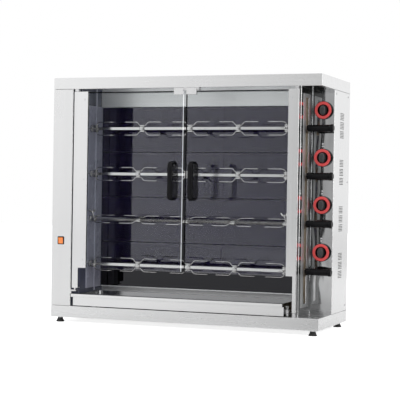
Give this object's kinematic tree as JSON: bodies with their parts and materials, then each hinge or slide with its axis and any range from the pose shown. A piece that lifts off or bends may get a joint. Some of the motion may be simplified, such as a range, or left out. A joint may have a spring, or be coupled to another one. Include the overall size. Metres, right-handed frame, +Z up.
{
  "type": "chicken rotisserie",
  "caption": "Wide electric rotisserie cabinet: driven fork spits stacked before black heater glass, hinged glass doors, drip tray, and an open side recess for spit handles and heat knobs.",
  "frame": {"origin": "floor level, at the middle of the whole footprint, spit handles and door handles included", "axes": "+X to the right along the front, +Y from the front to the back, +Z up"},
  "size_m": [1.169, 0.487, 1.011],
  "materials": {
    "polished_steel": "finely ground stainless sheet, nearly polished",
    "brushed_steel": "coarsely ground stainless steel",
    "mirror_steel": "mirror-polished stainless sheet",
    "chromed_steel": "polished stainless bar",
    "screw_steel": "bright zinc plating",
    "chain_steel": "oiled steel",
    "grey_casting": "grey paint",
    "bronze": "dull bronze",
    "black_enamel": "black vitreous enamel",
    "black_ceramic": "polished black glass ceramic",
    "clear_glass": "clear toughened glass",
    "black_plastic": "satin heat-proof moulding",
    "red_plastic": "glossy red ring",
    "orange_plastic": "translucent orange rocker",
    "black_rubber": "matt rubber",
    "insulation": "pressed mineral board"
  },
  "bodies": {
    "root": {"base_tray": "polished_steel", "feet": "black_rubber", "top_cap": "polished_steel", "ceiling_panel": "polished_steel", "left_casing": "polished_steel", "left_cavity_side": "black_enamel", "left_reflector_panel": "mirror_steel", "right_inner_wall": "mirror_steel", "slot_frame": "brushed_steel", "knob_panel": "mirror_steel", "right_side_panel": "polished_steel", "rear_panel": "polished_steel", "ceramic_panels": "black_ceramic", "back_frame": "mirror_steel", "heating_elements": "insulation", "gear_motor": "grey_casting", "drive_chain": "chain_steel", "drive_bearings": "grey_casting", "spit_supports": "bronze", "door_pivots": "polished_steel", "door_catch": "black_plastic", "cabinet_screws": "screw_steel", "switch_bezel": "black_plastic", "regulators": "grey_casting", "tray_runners": "brushed_steel", "cable_gland": "black_plastic"},
    "left_door": {"left_door_stile": "polished_steel", "left_door_glass": "clear_glass", "left_door_handle": "black_plastic", "left_door_fittings": "screw_steel"},
    "right_door": {"right_door_stile": "polished_steel", "right_door_glass": "clear_glass", "right_door_handle": "black_plastic", "right_door_fittings": "screw_steel"},
    "motor": {"motor_sprocket": "chain_steel"},
    "drip_tray": {"drip_tray": "brushed_steel", "tray_front": "polished_steel", "drain_tap": "screw_steel"},
    "tap_lever": {"tap_lever": "screw_steel"},
    "rocker": {"switch_rocker": "orange_plastic"},
    "drive_1": {"drive_shaft_1": "chain_steel"},
    "spit_1": {"spit_rod_1": "chromed_steel", "spit_forks_1": "chromed_steel", "spit_handle_1": "black_plastic"},
    "knob_1": {"knob_1": "black_plastic"},
    "drive_2": {"drive_shaft_2": "chain_steel"},
    "spit_2": {"spit_rod_2": "chromed_steel", "spit_forks_2": "chromed_steel", "spit_handle_2": "black_plastic"},
    "knob_2": {"knob_2": "black_plastic"},
    "drive_3": {"drive_shaft_3": "chain_steel"},
    "spit_3": {"spit_rod_3": "chromed_steel", "spit_forks_3": "chromed_steel", "spit_handle_3": "black_plastic"},
    "knob_3": {"knob_3": "black_plastic"},
    "drive_4": {"drive_shaft_4": "chain_steel"},
    "spit_4": {"spit_rod_4": "chromed_steel", "spit_forks_4": "chromed_steel", "spit_handle_4": "black_plastic"},
    "knob_4": {"knob_4": "black_plastic"}
  },
  "joints": [
    {"name": "left_door_hinge", "type": "hinge", "parent": "root", "child": "left_door", "pos_m": [-0.4775, -0.1905, 0.545], "axis": [0, 0, -1], "range_deg": [0, 110]},
    {"name": "right_door_hinge", "type": "hinge", "parent": "root", "child": "right_door", "pos_m": [0.4665, -0.1905, 0.545], "axis": [0, 0, 1], "range_deg": [0, 110]},
    {"name": "motor_turn", "type": "hinge", "parent": "root", "child": "motor", "pos_m": [-0.5325, -0.0835, 0.15], "axis": [1, 0, 0], "continuous": true},
    {"name": "drip_tray_slide", "type": "slide", "parent": "root", "child": "drip_tray", "axis": [0, -1, 0], "range_m": [0, 0.19]},
    {"name": "tap_lever_turn", "type": "hinge", "parent": "drip_tray", "child": "tap_lever", "pos_m": [0.4335, -0.1725, 0.089], "axis": [0, 0, 1], "range_deg": [0, 90]},
    {"name": "rocker_tilt", "type": "hinge", "parent": "root", "child": "rocker", "pos_m": [-0.5402, -0.1995, 0.339], "axis": [-1, 0, 0], "range_deg": [0, 16]},
    {"name": "drive_1_turn", "type": "hinge", "parent": "root", "child": "drive_1", "pos_m": [-0.4825, -0.0835, 0.241], "axis": [1, 0, 0], "continuous": true},
    {"name": "spit_1_slide", "type": "slide", "parent": "drive_1", "child": "spit_1", "axis": [1, 0, 0], "range_m": [0, 0.045]},
    {"name": "knob_1_turn", "type": "hinge", "parent": "root", "child": "knob_1", "pos_m": [0.5235, -0.0185, 0.3155], "axis": [0, 1, 0], "range_deg": [0, 270]},
    {"name": "drive_2_turn", "type": "hinge", "parent": "root", "child": "drive_2", "pos_m": [-0.4825, -0.0835, 0.4295], "axis": [1, 0, 0], "continuous": true},
    {"name": "spit_2_slide", "type": "slide", "parent": "drive_2", "child": "spit_2", "axis": [1, 0, 0], "range_m": [0, 0.045]},
    {"name": "knob_2_turn", "type": "hinge", "parent": "root", "child": "knob_2", "pos_m": [0.5235, -0.0185, 0.504], "axis": [0, 1, 0], "range_deg": [0, 270]},
    {"name": "drive_3_turn", "type": "hinge", "parent": "root", "child": "drive_3", "pos_m": [-0.4825, -0.0835, 0.618], "axis": [1, 0, 0], "continuous": true},
    {"name": "spit_3_slide", "type": "slide", "parent": "drive_3", "child": "spit_3", "axis": [1, 0, 0], "range_m": [0, 0.045]},
    {"name": "knob_3_turn", "type": "hinge", "parent": "root", "child": "knob_3", "pos_m": [0.5235, -0.0185, 0.6925], "axis": [0, 1, 0], "range_deg": [0, 270]},
    {"name": "drive_4_turn", "type": "hinge", "parent": "root", "child": "drive_4", "pos_m": [-0.4825, -0.0835, 0.8065], "axis": [1, 0, 0], "continuous": true},
    {"name": "spit_4_slide", "type": "slide", "parent": "drive_4", "child": "spit_4", "axis": [1, 0, 0], "range_m": [0, 0.045]},
    {"name": "knob_4_turn", "type": "hinge", "parent": "root", "child": "knob_4", "pos_m": [0.5235, -0.0185, 0.881], "axis": [0, 1, 0], "range_deg": [0, 270]}
  ],
  "couplings": [
    {"joint": "drive_2_turn", "follows": "drive_1_turn", "ratio": 1},
    {"joint": "drive_3_turn", "follows": "drive_1_turn", "ratio": 1},
    {"joint": "drive_4_turn", "follows": "drive_1_turn", "ratio": 1},
    {"joint": "motor_turn", "follows": "drive_1_turn", "ratio": 1}
  ]
}
